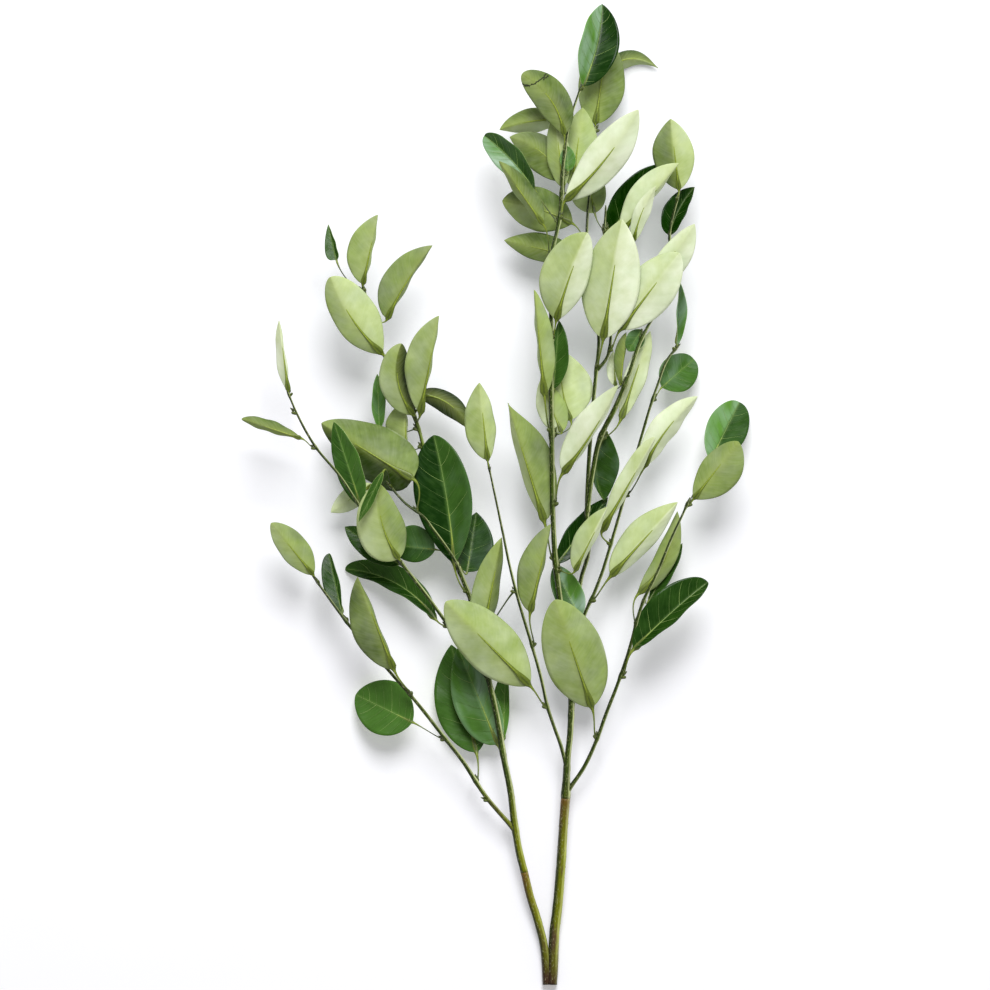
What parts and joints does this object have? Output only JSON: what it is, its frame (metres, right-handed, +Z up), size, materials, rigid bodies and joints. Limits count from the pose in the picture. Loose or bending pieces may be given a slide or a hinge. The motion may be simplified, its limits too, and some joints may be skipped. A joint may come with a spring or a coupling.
{
  "type": "olive branch",
  "caption": "Cut leafy branch lying on a surface: a forked woody stem with side twigs and many oval leaves on short stalks.",
  "frame": {"origin": "centre of the box that holds the branch, at the level of the surface it lies on", "axes": "+Y along the branch from its cut end to its top leaves, +X to the right of it as seen from above, +Z up"},
  "size_m": [0.3816, 0.7387, 0.0801],
  "materials": {
    "bark": "satin green bark, browner at the cut end",
    "leaf_upper": "glossy deep green with pale veins",
    "leaf_under": "matt pale green with a raised olive midrib"
  },
  "bodies": {
    "root": {"leaf_a1": "leaf_upper", "leaf_a2": "leaf_under", "leaf_a3": "leaf_under", "leaf_a4": "leaf_under", "leaf_a7": "leaf_under", "leaf_a8": "leaf_under", "leaf_a9": "leaf_under", "leaf_b1": "leaf_upper", "leaf_b2": "leaf_under", "leaf_b5": "leaf_under", "leaf_b6": "leaf_under", "leaf_b7": "leaf_under", "leaf_b8": "leaf_under", "leaf_c1": "leaf_upper", "leaf_c2": "leaf_under", "leaf_c4": "leaf_under", "leaf_c5": "leaf_upper", "leaf_e1": "leaf_under", "leaf_e2": "leaf_under", "leaf_e3": "leaf_upper", "leaf_e4": "leaf_under", "leaf_f1": "leaf_under", "leaf_f2": "leaf_under", "leaf_f3": "leaf_under", "leaf_f6": "leaf_upper", "leaf_g1": "leaf_upper", "leaf_g2": "leaf_under", "leaf_h1": "leaf_under", "leaf_h3": "leaf_under", "leaf_h4": "leaf_under", "leaf_j1": "leaf_under", "leaf_k1": "leaf_under", "leaf_m1": "leaf_under", "leaf_n10": "leaf_upper", "leaf_n11": "leaf_under", "leaf_n14": "leaf_upper", "leaf_n16": "leaf_under", "leaf_n19": "leaf_upper", "leaf_n3": "leaf_under", "leaf_n4": "leaf_under", "leaf_n5": "leaf_under", "leaf_n6": "leaf_under", "leaf_q1": "leaf_under", "leaf_q3": "leaf_under", "leaf_q4": "leaf_upper", "leaf_q5": "leaf_upper", "leaf_q6": "leaf_upper", "stem_base": "bark", "stem_left": "bark", "stem_right": "bark", "twig_inner": "bark", "twig_left": "bark", "twig_low_left": "bark", "twig_middle": "bark", "twig_outer_right": "bark", "twig_right": "bark", "twig_side": "bark", "twig_spur": "bark", "twig_upper_left": "bark", "twig_upper_right": "bark"}
  },
  "joints": []
}
